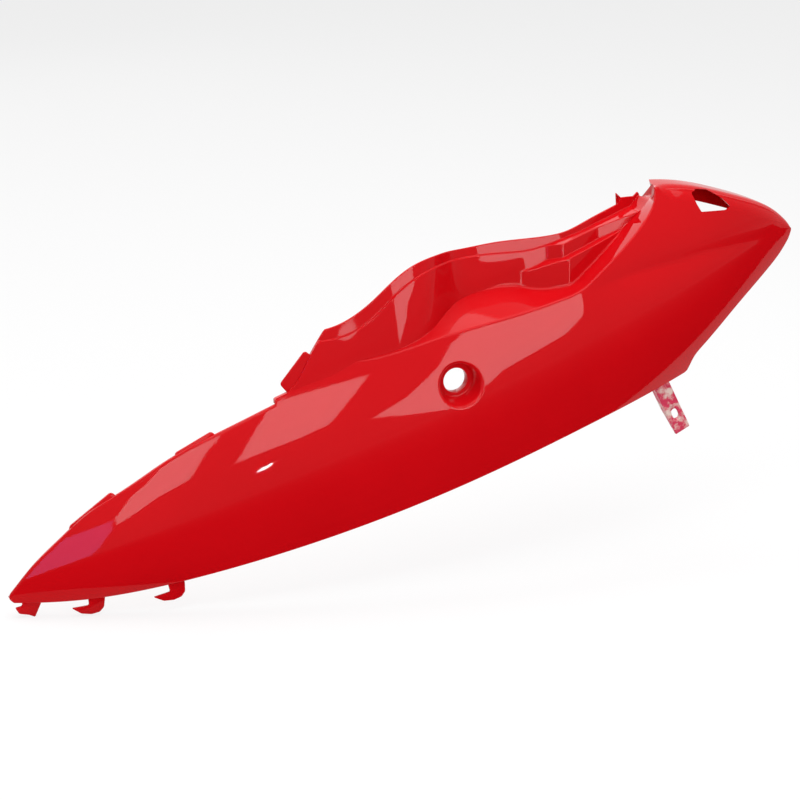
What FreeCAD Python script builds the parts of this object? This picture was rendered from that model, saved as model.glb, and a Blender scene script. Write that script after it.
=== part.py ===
import FreeCAD, Part
import math
import os

# Left rear side cover of a scooter: one moulded ABS shell, open towards the frame.
# Millimetres. +X points to the rear, +Z up and -Y away from the vehicle.
# The origin is the centre of the lock bore, on the floor of its recess. The tables below are measured
# from the skin's own reference point, and the finished cover is moved by LOCK_AT to that origin.

V = FreeCAD.Vector

# Moulding
WALL = 2.5
CLIMB = 18.0             # the cover climbs to the rear by this angle, in degrees
EDGE_R = 1.8             # rounding of the outer edges
TAIL_ROLL_R = 10.0       # rounding over the top of the tail
FLANGE = 9.0             # return flange along the lower and the rear edge
TAIL_FACE_Y = 66.0       # flat inner face of the tail's return
TAIL_RETURN = 17.0       # height of that return
FAR = 600.0              # beyond every edge of the cover

# Lock recess
LOCK_AT = (-3.0, -16.0, 4.6)     # centre of the bore, on the recess's floor
LOCK_BORE_D = 24.0
LOCK_COLLAR = 8.5
LOCK_FLOOR_D = 33.0
LOCK_MOUTH_D = 44.0      # where the recess cuts the skin
LOCK_DEPTH = 18.0
LOCK_EDGE_R = 2.2

# Scoop
SCOOP_LEAN = 0.10        # upright faces lean in by this share of their height
LEAN_FROM_Z = 40.0
RIM_STEP = 2.2           # the rim's joint flange is set in from the inner wall

# Terraces behind the scoop: upright faces, each set in behind the one below
TERRACE_AT = (127.0, 10.0)      # X and depth of the lowest face
TERRACE_SLOPE = 0.30            # it follows the tail inwards
LEDGE = 10.0
LOWER_RAMP = (86.0, 0.56)       # end wall of the scoop: X of its inner corner, slope
UPPER_RAMP = (111.5, 1.07)

# Skin, along the climbing axis: place, depth of the crest, height of the crest, roundness
SKIN = [
    (-460, 50, -48, 0.0120),
    (-400, 27, -45, 0.0095),
    (-320, 2, -42, 0.0070),
    (-200, -21, -38, 0.0050),
    (-30, -34, -30, 0.0042),
    (140, -22, -20, 0.0040),
    (280, 6, -5, 0.0040),
    (350, 27, 5, 0.0045),
    (400, 50, 5, 0.0050),
]
SKIN_HALF = 120.0        # beyond this distance from the crest the skin flattens
SKIN_S = (-480.0, 430.0)
SKIN_T = (-130.0, 145.0)
SCOOP_X = (-195.0, 250.0)
SCOOP_Z = (-40.0, 180.0)

# Edges seen from the side, as X and Z
LOWER_EDGE = [(-419, -189), (-356, -187.5), (-258, -171.5), (-156, -147.7),
              (-62, -122.7), (37, -93.8), (144, -62.2), (205, -45.6), (264, -29.2)]
REAR_EDGE = [(266.3, -22.5), (269.5, -13), (279, -2.5), (296, 13.2), (314, 30), (357, 64), (375, 79), (385, 91)]
TAIL_EDGE = [(385, 91), (388, 101), (378, 115), (361.5, 127), (339.5, 137.5),
             (310, 147.5), (284, 155), (253, 161), (222, 163), (200, 163)]
CREASE = [(-150, 33), (-110, 28), (-75, 31.5), (-25, 44), (23, 54.8), (73, 64.5), (107, 72.3), (121, 76),
          (131, 79.8), (143, 87.2), (157, 96.5), (185, 117), (208, 137), (219, 152), (222, 163), (223, 172)]
FRONT_EDGE = [(-174, -7), (-229, -32.5), (-271, -54), (-318, -84.5), (-346, -102.5),
              (-375, -127.5), (-401, -153), (-420, -177)]
TIP = [(-420, -177), (-423, -184), (-419, -189)]
BEHIND_WALL = [(-60, 150), (-125, 45), (-150, 9)]    # the skin's own end, out of sight

# Shelf: its rise per millimetre of depth, along X
SHELF_RISE = [(-150, 0.33), (41, 0.33), (62, 0.29), (76, 0.22), (88, 0.12), (102, 0.04), (125, 0), (250, 0)]

# Towards the tail's top the band also runs to the rear as it goes inwards: millimetres per millimetre of depth
BAND_DRIFT = [(-150, 0), (100, 0), (185, 0), (203, 0.05), (214, 0.17), (223, 0.27), (250, 0.30)]

# Inner wall and rim flange: their depth at LEAN_FROM_Z, along X
WALL_DEPTH = [(-190, 14.5), (-147, 6.6), (-117, 1.4), (-86, -1.4), (-60, -4.2), (-36, -3.2),
              (-21, 1.5), (-7, 10.5), (9, 22.5), (23, 28.5), (41, 31.2), (60, 31.8), (90, 31.8), (240, 31.8)]
RIM_DEPTH = [(60, 34), (90, 34), (115, 34), (131, 34.5), (160, 41.5), (190, 49), (215, 54.5), (250, 55)]
WALL_FRONT = [(-174, -7), (-155, 10), (-139, 37.6), (-125, 60)]
RIM = [(-125, 60), (-114, 62.9), (-102.4, 67.7), (-79, 83), (-55.4, 103), (-32, 115.3), (-13, 117.9),
       (20, 116.6), (60, 119.2), (106, 120.4), (132, 123), (161, 131), (197, 141.6)]
RIM_END = [(201, 147.5), (216, 147), (231, 160)]
RIM_LOW = [(-131, 49.5), (-106.6, 53.5), (-77.4, 69.3), (-52.6, 91.5), (-22, 106.5), (5, 108),
           (60, 108.7), (98, 109.5), (122, 115), (157, 123.3), (197, 134)]
TERRACE_LOW = [(84, 89.3), (95, 91.8), (108, 97), (125, 103), (157.4, 111.8), (197, 124)]

# Window in the tail
WINDOW = [(261, 154.5), (268, 157), (281, 155), (294, 147), (302.5, 138.5), (297.5, 135.4),
          (268.5, 136.5), (264, 145)]
WINDOW_R = 1.2
WINDOW_DEPTH = 52.0      # it stops short of the tail's return

# Hooks under the lower edge: flat, with their feet to the front; first point is the rear root
HOOK_T = 2.6
HOOK_SET_IN = 3.0        # behind the skin
HOOK_ROOT = 5.0          # how far the stem reaches into the flange
HOOK_R = 1.2
FRONT_HOOK = [(0, 0), (-6.4, -13.8), (-11.9, -10.9), (-21.2, -8.6), (-24.7, -2.4), (-17.9, -1.2)]
HOOK = [(0, 0), (-1.9, -8.8), (-6.5, -12.9), (-14.5, -13.6), (-24, -11.0), (-32.4, -3.9), (-15.8, -4.3)]
FRONT_HOOK_AT = (-394.0, -190.5)
HOOKS_AT = [(-336.5, -188.0, 4.0), (-263.5, -175.5, 13.0)]    # X, Z and tilt in degrees

# Tabs along the upper edge, as side-view outlines, and the fin at the rim's rear end
TAB_T = 2.0
TAB_SINK = 0.5           # how far a tab is moulded into the wall that carries it
FRONT_TAB = [(-368, -130), (-364.8, -116.5), (-325.5, -85.3), (-321, -88.5), (-323, -102)]
MIDDLE_TAB = [(-268, -63), (-266.6, -50.2), (-232.5, -31.0), (-228.5, -34.5), (-230, -45)]
WALL_TAB = [(-143.8, 41.2), (-133, 32), (-158, -2), (-168.2, 10.5)]
FIN = [(195.0, 153.0), (201.2, 147.4), (199.5, 138), (195.5, 138)]

# Bracket strap under the rear of the lower edge
STRAP_ROOT = (235.5, -38.0)
STRAP_LEAN = 27.0        # from straight down, towards the rear, in degrees
STRAP_WIDTH = 17.0
STRAP_LENGTH = 59.0
STRAP_T = 2.6
STRAP_Y = 30.0
STRAP_WEB = 11.0         # depth of its side web, which tapers to nothing over the lower half
STRAP_REACH = 6.0        # how far it reaches up behind the return flange
SLOT_WIDTH = 7.4
SLOT_LENGTH = 11.5
SLOT_FROM_END = 21.0

# Limits of the scoop's inner form, out of sight
SCOOP_UNDERSIDE = [(236, 150), (200, 118), (160, 85), (118, 60), (-75, 5), (-140, -20)]
HOLLOW_SIDE = [(-195, -20), (-195, 200), (245, 200), (245, 150), (205, 108), (160, 75),
               (118, 55), (-75, -5), (-140, -25)]
FLANGED_AREA = [(-450, -100), (-200, -60), (-60, 10), (110, 42), (225, 120), (300, 128),
                (366, 103), (420, 105), (420, -260), (-450, -260)]


def smooth(points):
    """Natural cubic spline through (place, value) pairs, as a function of the place."""
    xs = [float(p[0]) for p in points]
    ys = [float(p[1]) for p in points]
    n = len(xs)
    step = [xs[i + 1] - xs[i] for i in range(n - 1)]
    bend = [0.0] * n
    factor = [0.0] * n
    for i in range(1, n - 1):
        rise = (ys[i + 1] - ys[i]) / step[i] - (ys[i] - ys[i - 1]) / step[i - 1]
        pivot = 2.0 * (step[i - 1] + step[i]) - step[i - 1] * factor[i - 1]
        factor[i] = step[i] / pivot
        bend[i] = (6.0 * rise - step[i - 1] * bend[i - 1]) / pivot
    for i in range(n - 2, 0, -1):
        bend[i] -= factor[i] * bend[i + 1]

    def value(x):
        i = 0
        while i < n - 2 and x > xs[i + 1]:
            i += 1
        a = (xs[i + 1] - x) / step[i]
        b = (x - xs[i]) / step[i]
        curve = (a ** 3 - a) * bend[i] + (b ** 3 - b) * bend[i + 1]
        return a * ys[i] + b * ys[i + 1] + curve * step[i] ** 2 / 6.0

    return value


skin_depth = smooth([(p[0], p[1]) for p in SKIN])
skin_crest = smooth([(p[0], p[2]) for p in SKIN])
skin_round = smooth([(p[0], p[3]) for p in SKIN])
shelf_rise = smooth(SHELF_RISE)
band_drift = smooth(BAND_DRIFT)
wall_depth = smooth(WALL_DEPTH)
rim_depth = smooth(RIM_DEPTH)


def from_side(s, t):
    """Side-view X and Z of a point at s along and t across the climbing axis."""
    c = math.cos(math.radians(CLIMB))
    k = math.sin(math.radians(CLIMB))
    return s * c - t * k, s * k + t * c


def skin_at(s, t):
    """Depth of the outer skin: a hyperbola across, whose crest follows the plan curve."""
    across = (t - skin_crest(s)) / SKIN_HALF
    return skin_depth(s) + 2.0 * skin_round(s) * SKIN_HALF ** 2 * (math.sqrt(1.0 + across ** 2) - 1.0)


def skin_xz(x, z):
    c = math.cos(math.radians(CLIMB))
    k = math.sin(math.radians(CLIMB))
    return skin_at(x * c + z * k, -x * k + z * c)


def lean(z):
    return SCOOP_LEAN * (z - LEAN_FROM_Z)


def inner_wall(x, z):
    return wall_depth(x) + lean(z)


def rim_flange(x, z):
    """The rim's flange follows the inner wall, and past the scoop its own plan curve."""
    if x < RIM_DEPTH[0][0]:
        return wall_depth(x) + RIM_STEP + lean(z)
    return rim_depth(x) + lean(z)


def terrace(x, z, level=0):
    return TERRACE_AT[1] + level * LEDGE + TERRACE_SLOPE * (x - TERRACE_AT[0]) + lean(z)


def upper_terrace(x, z):
    return terrace(x, z, 1)


def ramp(corner_x, slope):
    """Upright face that comes out of the inner wall at corner_x."""
    def depth(x, z):
        return wall_depth(corner_x) - slope * (x - corner_x) + lean(z)
    return depth


def along_normal(depth, x, z, wall):
    """Depth of the surface that lies one wall behind a depth surface, square to it."""
    h = 0.5
    dx = (depth(x + h, z) - depth(x - h, z)) / (2.0 * h)
    dz = (depth(x, z + h) - depth(x, z - h)) / (2.0 * h)
    return depth(x, z) + wall * math.sqrt(1.0 + dx * dx + dz * dz)


def steps(low, high, count):
    return [low + (high - low) * i / (count - 1) for i in range(count)]


def swept(points, along):
    """Solid that a surface through a grid of points leaves behind when it moves along a vector."""
    surface = Part.BSplineSurface()
    surface.interpolate(points)
    return surface.toShape().extrude(along)


def behind_skin(wall):
    """All that lies behind the skin, or behind its inner face one wall further in."""
    rows = []
    for s in steps(SKIN_S[0], SKIN_S[1], 46):
        row = []
        for t in steps(SKIN_T[0], SKIN_T[1], 14):
            x, z = from_side(s, t)
            row.append(V(x, along_normal(skin_xz, x, z, wall), z))
        rows.append(row)
    return swept(rows, V(0, FAR, 0))


def behind(depth, wall, columns):
    """All that lies behind an upright surface of the scoop, in as many columns as its plan needs."""
    xs = steps(SCOOP_X[0], SCOOP_X[1], columns)
    zs = steps(SCOOP_Z[0], SCOOP_Z[1], 4)
    return swept([[V(x, along_normal(depth, x, z, wall), z) for z in zs] for x in xs], V(0, FAR, 0))


def above_crease(wall):
    """All that lies above the shelf and the tail's band: they start at the crease and run inwards."""
    spline = Part.BSplineCurve()
    spline.interpolate([V(x, 0, z) for x, z in CREASE])
    rows = []
    for place in steps(spline.FirstParameter, spline.LastParameter, 60):
        at = spline.value(place)
        inwards = V(band_drift(at.x), 1, shelf_rise(at.x))
        square = inwards.cross(spline.tangent(place)[0])
        square.normalize()
        crease_y = skin_xz(at.x, at.z)
        rows.append([at + square * wall + inwards * (y - crease_y) + V(0, crease_y, 0)
                     for y in steps(-90.0, 130.0, 4)])
    return swept(rows, V(-0.6 * FAR, 0, 0.8 * FAR))


def curve(points):
    """Edge through side-view points: a line for two of them, else a spline."""
    at = [V(x, 0, z) for x, z in points]
    if len(at) == 2:
        return Part.makeLine(at[0], at[1])
    spline = Part.BSplineCurve()
    spline.interpolate(at)
    return spline.toShape()


def side_curve(points, offset=0.0):
    """Side-view points of a smooth edge, moved to the left of its direction by offset."""
    if not offset:
        return points
    spline = Part.BSplineCurve()
    spline.interpolate([V(x, 0, z) for x, z in points])
    moved = []
    for x, z in points:
        along = spline.tangent(spline.parameter(V(x, 0, z)))[0]
        moved.append((x - along.z * offset, z + along.x * offset))
    return moved


def outline(*runs):
    """Closed side-view outline as edges: each run is a list of points, joined by straight lines."""
    edges = []
    for i, run in enumerate(runs):
        if len(run) > 1:
            edges.append(curve(run))
        gap_end = runs[(i + 1) % len(runs)][0]
        if math.dist(run[-1], gap_end) > 1e-6:
            edges.append(curve([run[-1], gap_end]))
    return edges


def across(*runs):
    """Solid across the whole depth over a closed side-view outline."""
    face = Part.Face(Part.Wire(outline(*runs)))
    face.translate(V(0, -FAR / 2.0, 0))
    return face.extrude(V(0, FAR * 1.2, 0))


def area(*points):
    """Solid across the whole depth over a side-view polygon."""
    return across(*[[p] for p in points])


def between(y_low, y_high):
    return Part.makeBox(2 * FAR, y_high - y_low, 2 * FAR, V(-FAR, y_low, -FAR))


def below(points, drop):
    """All below a side-view edge, lowered by drop."""
    edge = side_curve(points, -drop)
    return across(edge, [(FAR, edge[-1][1])], [(FAR, -FAR)], [(-FAR, -FAR)], [(-FAR, edge[0][1])])


def rounded(form, radius, *spots):
    """The form with its edges nearest to some spots on the skin rounded."""
    edges = []
    for x, z in spots:
        spot = Part.Vertex(V(x, skin_xz(x, z), z))
        edges.append(min(form.Edges, key=lambda e: e.distToShape(spot)[0]))
    return form.makeFillet(radius, edges).Solids[0]


def middle(points):
    return points[len(points) // 2]


def skin_body(wall):
    """Filled form of the skin, its edges, the shelf and the tail, drawn in by one wall or not at all."""
    if wall:
        rear = side_curve(REAR_EDGE, wall)
        tail = side_curve(TAIL_EDGE, wall)[1:]
        low = side_curve(LOWER_EDGE, wall)
        under_tail = across(rear, tail, [(-FAR, tail[-1][1])], [(-FAR, -FAR)], [(rear[0][0] - 8.0, -FAR)])
        over_low = across(low, [(FAR, low[-1][1])], [(FAR, FAR)], [(-FAR, FAR)], [(-FAR, low[0][1])])
        form = behind_skin(wall).common(under_tail).common(over_low)
        return form.cut(above_crease(wall)).cut(tail_return(wall)).cut(lock_recess(wall))
    side = across(LOWER_EDGE, REAR_EDGE, TAIL_EDGE, *[[p] for p in BEHIND_WALL], FRONT_EDGE, TIP)
    form = behind_skin(0.0).common(side).common(between(-FAR, TAIL_FACE_Y))
    form = rounded(form, TAIL_ROLL_R, middle(TAIL_EDGE))
    form = rounded(form.cut(above_crease(0.0)), EDGE_R, CREASE[4])
    form = rounded(form, EDGE_R, middle(LOWER_EDGE), middle(TIP), middle(FRONT_EDGE))
    form = form.cut(lock_recess(0.0))
    return rounded(form, LOCK_EDGE_R, (LOCK_AT[0] + LOCK_MOUTH_D * 0.4, LOCK_AT[2] - LOCK_MOUTH_D * 0.3))


def lock_recess(wall):
    """Tapered recess of the lock, open outwards, or the form of its walls when grown by one wall."""
    floor_r = LOCK_FLOOR_D / 2.0 + wall
    widening = (LOCK_MOUTH_D - LOCK_FLOOR_D) / 2.0 / LOCK_DEPTH
    reach = 2.0 * LOCK_DEPTH
    cone = Part.makeCone(floor_r - widening * wall, floor_r + widening * reach, reach + wall,
                         V(0, wall, 0), V(0, -1, 0))
    if not wall:
        return cone.translated(V(*LOCK_AT))
    collar = Part.makeCylinder(LOCK_BORE_D / 2.0 + wall, LOCK_COLLAR + 1.0, V(0, -1.0, 0), V(0, 1, 0))
    return cone.fuse(collar).translated(V(*LOCK_AT))


def tail_return(wall):
    """Upright return at the inner side of the tail's top."""
    low = side_curve(TAIL_EDGE, TAIL_RETURN)
    start_x = RIM_END[-1][0] + 5.0
    side = across(TAIL_EDGE[1:-1], [(start_x, FAR)], [(start_x, low[-2][1])], low[-3:1:-1])
    return side.common(between(TAIL_FACE_Y - wall, FAR))


def scoop_body(wall):
    """Filled form of the inner wall, the end wall's two terraces and the rim flange."""
    upright = behind(inner_wall, wall, 48).common(below(RIM_LOW, wall))
    lower = behind(ramp(*LOWER_RAMP), wall, 2).common(behind(terrace, wall, 2))
    upper = behind(ramp(*UPPER_RAMP), wall, 2).common(behind(upper_terrace, wall, 2))
    rim = behind(rim_flange, wall, 48)
    if wall:
        side = area(*HOLLOW_SIDE)
    else:
        side = across(WALL_FRONT, RIM, *[[p] for p in RIM_END + SCOOP_UNDERSIDE])
    parts = [upright, lower.common(below(TERRACE_LOW, wall)), upper.common(below(RIM_LOW, wall)), rim]
    parts = [p.common(side) for p in parts]
    return parts[0].fuse(parts[1:])


def flange_end():
    """All that lies deeper than the return flanges along the lower and the rear edge, but for the recess."""
    return behind_skin(FLANGE).common(area(*FLANGED_AREA)).cut(lock_recess(WALL))


def sheet(depth_solid, at, thickness, outline_points):
    """Plate that follows a surface, between two depths behind it, inside a side-view outline."""
    outer = depth_solid(at).common(plate(outline_points, -FAR / 4.0, FAR / 2.0))
    return outer.cut(depth_solid(at + thickness))


def behind_wall(wall):
    return behind(inner_wall, wall, 48)


def behind_rim(wall):
    return behind(rim_flange, wall, 48)


def turned(points, at, degrees):
    c = math.cos(math.radians(degrees))
    k = math.sin(math.radians(degrees))
    return [(at[0] + x * c - z * k, at[1] + x * k + z * c) for x, z in points]


def plate(points, y, thickness):
    return area(*points).common(between(y, y + thickness))


def rounded_across(form, radius):
    """A plate or prism with all its edges along Y rounded."""
    return form.makeFillet(radius, [e for e in form.Edges if abs(e.tangentAt(e.FirstParameter).y) > 0.999])


def hook(points, at, tilt):
    """Flat hook whose stem stands in the return flange and whose foot points to the front."""
    rooted = [(points[-1][0], HOOK_ROOT), (0.0, HOOK_ROOT)] + points
    y = skin_xz(at[0] + points[-1][0] / 2.0, at[1] + 2.0) + HOOK_SET_IN
    return rounded_across(plate(turned(rooted, at, tilt), y, HOOK_T), HOOK_R)


def strap():
    """Bracket strap with a side web and a slotted screw hole; its length runs down and to the rear."""
    half = STRAP_WIDTH / 2.0
    face = [(-half, STRAP_REACH), (half, STRAP_REACH), (half, -STRAP_LENGTH), (-half, -STRAP_LENGTH)]
    web = [(STRAP_REACH, 0), (-STRAP_LENGTH, 0), (-STRAP_LENGTH, STRAP_T), (-STRAP_LENGTH / 2.0, STRAP_WEB),
           (STRAP_REACH, STRAP_WEB)]
    slot_z = SLOT_FROM_END - STRAP_LENGTH
    ends = (SLOT_LENGTH - SLOT_WIDTH) / 2.0
    form = plate(turned(face, STRAP_ROOT, STRAP_LEAN), STRAP_Y, STRAP_T)
    side_web = Part.Face(Part.makePolygon([V(-half, y, z) for z, y in web + web[:1]])).extrude(V(STRAP_T, 0, 0))
    side_web.rotate(V(0, 0, 0), V(0, -1, 0), STRAP_LEAN)
    form = form.fuse(side_web.translated(V(STRAP_ROOT[0], STRAP_Y, STRAP_ROOT[1])))
    sides = [(-SLOT_WIDTH / 2.0, slot_z - ends), (SLOT_WIDTH / 2.0, slot_z - ends),
             (SLOT_WIDTH / 2.0, slot_z + ends), (-SLOT_WIDTH / 2.0, slot_z + ends)]
    slot = plate(turned(sides, STRAP_ROOT, STRAP_LEAN), STRAP_Y - 1.0, STRAP_T + 2.0)
    for z in (slot_z - ends, slot_z + ends):
        x, z = turned([(0.0, z)], STRAP_ROOT, STRAP_LEAN)[0]
        slot = slot.fuse(Part.makeCylinder(SLOT_WIDTH / 2.0, STRAP_T + 2.0, V(x, STRAP_Y - 1.0, z), V(0, 1, 0)))
    return form.cut(slot)


def fastenings():
    parts = [hook(FRONT_HOOK, FRONT_HOOK_AT, 0.0)]
    parts += [hook(HOOK, (x, z), tilt) for x, z, tilt in HOOKS_AT]
    parts.append(sheet(behind_skin, WALL - TAB_SINK, TAB_T, FRONT_TAB))
    parts.append(sheet(behind_skin, WALL - TAB_SINK, TAB_T, MIDDLE_TAB))
    parts.append(sheet(behind_wall, WALL - TAB_SINK, TAB_T, WALL_TAB))
    parts.append(sheet(behind_rim, 0.2, TAB_T, FIN))
    parts.append(strap())
    return parts


def side_panel():
    outer = skin_body(0.0).fuse(scoop_body(0.0))
    inner = skin_body(WALL).fuse(scoop_body(WALL))
    form = outer.cut(inner).cut(flange_end())
    form = form.cut(rounded_across(area(*WINDOW), WINDOW_R).common(between(-FAR, WINDOW_DEPTH)))
    form = form.fuse(fastenings())
    bore = Part.makeCylinder(LOCK_BORE_D / 2.0, 2.0 * LOCK_DEPTH, V(0, -LOCK_DEPTH, 0), V(0, 1, 0))
    panel = form.cut(bore.translated(V(*LOCK_AT))).Solids[0]
    return panel.translated(V(*[-p for p in LOCK_AT]))


def main():
    os.makedirs("parts", exist_ok=True)
    side_panel().exportStep("parts/side_panel.step")


main()
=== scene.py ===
"""Left side fairing panel of a scooter: a thin painted moulding with scoop, lock recess and fastenings."""
import math

import bmesh
import bpy
import numpy as np
from mathutils import Matrix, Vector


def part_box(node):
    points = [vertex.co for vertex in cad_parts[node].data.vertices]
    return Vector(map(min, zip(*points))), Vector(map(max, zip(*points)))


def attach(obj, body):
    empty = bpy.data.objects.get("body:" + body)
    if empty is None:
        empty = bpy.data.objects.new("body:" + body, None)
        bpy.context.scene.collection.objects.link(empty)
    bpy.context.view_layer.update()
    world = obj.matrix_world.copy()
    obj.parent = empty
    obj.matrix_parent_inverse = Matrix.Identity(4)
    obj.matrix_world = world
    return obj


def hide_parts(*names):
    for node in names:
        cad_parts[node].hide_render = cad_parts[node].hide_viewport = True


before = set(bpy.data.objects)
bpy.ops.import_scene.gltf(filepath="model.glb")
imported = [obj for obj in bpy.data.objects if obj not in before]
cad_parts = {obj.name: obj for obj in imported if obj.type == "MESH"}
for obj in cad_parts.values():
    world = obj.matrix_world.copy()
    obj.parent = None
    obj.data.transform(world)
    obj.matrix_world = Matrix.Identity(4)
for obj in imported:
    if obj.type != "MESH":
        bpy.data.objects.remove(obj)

bl_info = {
    "name": "Scooter Side Fairing",
    "version": (1, 0, 0),
    "blender": (4, 5, 0),
    "location": "View3D > Sidebar > Fairing",
    "description": "Builds a painted side fairing panel over its packed frame, and a studio round it",
    "category": "Add Mesh",
}

MM = 0.001               # every shape is worked out in millimetres, in the frame's axes
LOCK_AT = np.array([-3.0, -16.0, 4.6])      # the frame's origin, in the measures used below

# Skin, along the climbing axis: place, depth of the crest, height of the crest, roundness
CLIMB = math.radians(18.0)
SKIN_HALF = 120.0
SKIN = np.array([
    (-460, 50, -48, 0.0120), (-400, 27, -45, 0.0095), (-320, 2, -42, 0.0070),
    (-200, -21, -38, 0.0050), (-30, -34, -30, 0.0042), (140, -22, -20, 0.0040),
    (280, 6, -5, 0.0040), (350, 27, 5, 0.0045), (400, 50, 5, 0.0050),
])

# Fold along the tail: X and Z of its line, and its depth over X
FOLD_LINE = [(60, 60), (124, 74.7), (158, 81.5), (192, 88.3), (239, 93.5), (275, 98.7), (314, 101),
             (359, 102.4)]
FOLD_DEPTH = [(128, 0), (150, 2.0), (175, 4.4), (210, 5.2), (250, 4.6), (300, 3.2), (345, 1.2), (380, 0)]

# Edges seen from the side, as X and Z
TIP = [(-420, -177), (-423, -184), (-419, -189)]
LOWER_EDGE = [(-419, -189), (-356, -187.5), (-258, -171.5), (-156, -147.7),
              (-62, -122.7), (37, -93.8), (144, -62.2), (205, -45.6), (264, -29.2)]
REAR_EDGE = [(266.3, -22.5), (269.5, -13), (279, -2.5), (296, 13.2), (314, 30), (357, 64), (375, 79),
             (385, 91)]
TAIL_EDGE = [(385, 91), (388, 101), (378, 115), (361.5, 127), (339.5, 137.5),
             (310, 147.5), (284, 155), (253, 161), (222, 163)]
FRONT_EDGE = [(-174, -7), (-229, -32.5), (-271, -54), (-318, -84.5), (-346, -102.5),
              (-375, -127.5), (-401, -153), (-420, -177)]
CREASE = [(-150, 33), (-110, 28), (-75, 31.5), (-25, 44), (23, 54.8), (73, 64.5), (107, 72.3), (121, 76),
          (131, 79.8), (143, 87.2), (157, 96.5), (185, 117), (208, 137), (219, 152), (222, 163)]
WALL_FRONT = [(-174, -7), (-155, 10), (-139, 37.6), (-125, 60)]
RIM = [(-125, 60), (-114, 62.9), (-102.4, 67.7), (-79, 83), (-55.4, 103), (-32, 115.3), (-13, 117.9),
       (20, 116.6), (60, 119.2), (106, 120.4), (132, 123), (161, 131), (197, 141.6)]
RIM_END = [(201, 147.5), (216, 147), (231, 160)]
RIM_LOW = [(-131, 49.5), (-106.6, 53.5), (-77.4, 69.3), (-52.6, 91.5), (-22, 106.5), (5, 108),
           (60, 108.7), (98, 109.5), (122, 115), (157, 123.3), (197, 134)]
TERRACE_LOW = [(84, 89.3), (95, 91.8), (108, 97), (125, 103), (157.4, 111.8), (197, 124)]
WINDOW = [(261, 154.5), (268, 157), (281, 155), (294, 147), (302.5, 138.5), (297.5, 135.4),
          (268.5, 136.5), (264, 145)]

# Plan curves of the scoop: X and depth, and the shelf's rise and the band's drift per millimetre of depth
SHELF_RISE = [(-150, 0.33), (41, 0.33), (62, 0.29), (76, 0.22), (88, 0.12), (102, 0.04), (125, 0), (250, 0)]
BAND_DRIFT = [(-150, 0), (100, 0), (185, 0), (203, 0.05), (214, 0.17), (223, 0.27), (250, 0.30)]
WALL_DEPTH = [(-190, 14.5), (-147, 6.6), (-117, 1.4), (-86, -1.4), (-60, -4.2), (-36, -3.2),
              (-21, 1.5), (-7, 10.5), (9, 22.5), (23, 28.5), (41, 31.2), (60, 31.8), (90, 31.8), (240, 31.8)]
RIM_DEPTH = [(60, 34), (90, 34), (115, 34), (131, 34.5), (160, 41.5), (190, 49), (215, 54.5), (250, 55)]
WALL_END = 31.8                    # depth of the inner wall at its end
RIM_STEP = 2.2                     # the rim's joint flange is set in from that wall
RIM_FROM_X = 60.0                  # from here the rim has its own depth curve
LEAN, LEAN_FROM = 0.10, 40.0       # upright faces lean in by this share of their height above this one
TERRACE_X, TERRACE_DEPTH = 127.0, 10.0
TERRACE_SLOPE = 0.30               # the terraces follow the tail inwards
LEDGE = 10.0                       # depth of the step between them
LOWER_RAMP = (86.0, 0.56)          # end wall of the scoop: X of its inner corner, slope
UPPER_RAMP = (111.5, 1.07)
TAIL_FROM_X = 222.0                # the skin's top edge belongs to the tail from here
TAIL_OPENS = 0.27                  # the tail's inner face opens out by this X per millimetre of depth
RETURN_FROM_X, RETURN_EASE = 234.0, 3.0
ROLL_OVER = 12.0                   # the tail's roll grows to its full radius over this length
FALL_FROM_X, FALL_OVER, FALL = 216.0, 6.0, 0.53     # the band's end falls by FALL per millimetre of depth

# Lock recess and window
SKIN_ROWS = 56                     # points up the skin in each section
LOCK_TAPER = (22.0 - 16.5) / 18.0  # the recess widens by this from its floor to its mouth
LOCK_BLOCK = 37.0                  # half of the square of skin that rings replace round the lock
WINDOW_ROUND = 1.6
WINDOW_DEPTHS = (-60.0, 52.0)      # the cut ends short of the tail's return

# Fastenings
FRONT_HOOK = [(0, 0), (-6.4, -13.8), (-11.9, -10.9), (-21.2, -8.6), (-24.7, -2.4), (-17.9, -1.2)]
HOOK = [(0, 0), (-1.9, -8.8), (-6.5, -12.9), (-14.5, -13.6), (-24, -11.0), (-32.4, -3.9), (-15.8, -4.3)]
FRONT_HOOK_AT = (-394.0, -190.5)
HOOKS_AT = [(-336.5, -188.0, 4.0), (-263.5, -175.5, 13.0)]
FRONT_TAB = [(-368, -130), (-364.8, -116.5), (-325.5, -85.3), (-321, -88.5), (-323, -102)]
MIDDLE_TAB = [(-268, -63), (-266.6, -50.2), (-232.5, -31.0), (-228.5, -34.5), (-230, -45)]
WALL_TAB = [(-143.8, 41.2), (-133, 32), (-158, -2), (-168.2, 10.5)]
FIN = [(195.0, 153.0), (201.2, 147.4), (199.5, 138), (195.5, 138)]
STRAP_ROOT = (235.5, -38.0)
STRAP_LEAN = math.radians(27.0)
STRAP_Y, STRAP_THICK = 30.0, 2.6
STRAP_WEB = 11.0                   # depth of the strap's side web at its root
SLOT_WIDTH, SLOT_LENGTH, SLOT_FROM_END = 7.4, 11.5, 21.0
EDGE = 0.5                         # rounding of the thin plates' edges
SUNK = 0.5                         # the tabs reach this far into the wall behind them

# Camera: turn and tilt, its aim as metres to the right and up, distance in metres and lens in millimetres
CAMERA_TURN, CAMERA_TILT = math.radians(-20.0), math.radians(18.0)
CAMERA_AIM, CAMERA_DISTANCE, CAMERA_LENS = (-0.0497, -0.0193), 2.2, 104.2
WORLD_LIGHT = 0.2                  # strength of the world for all rays that don't see the white background

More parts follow.
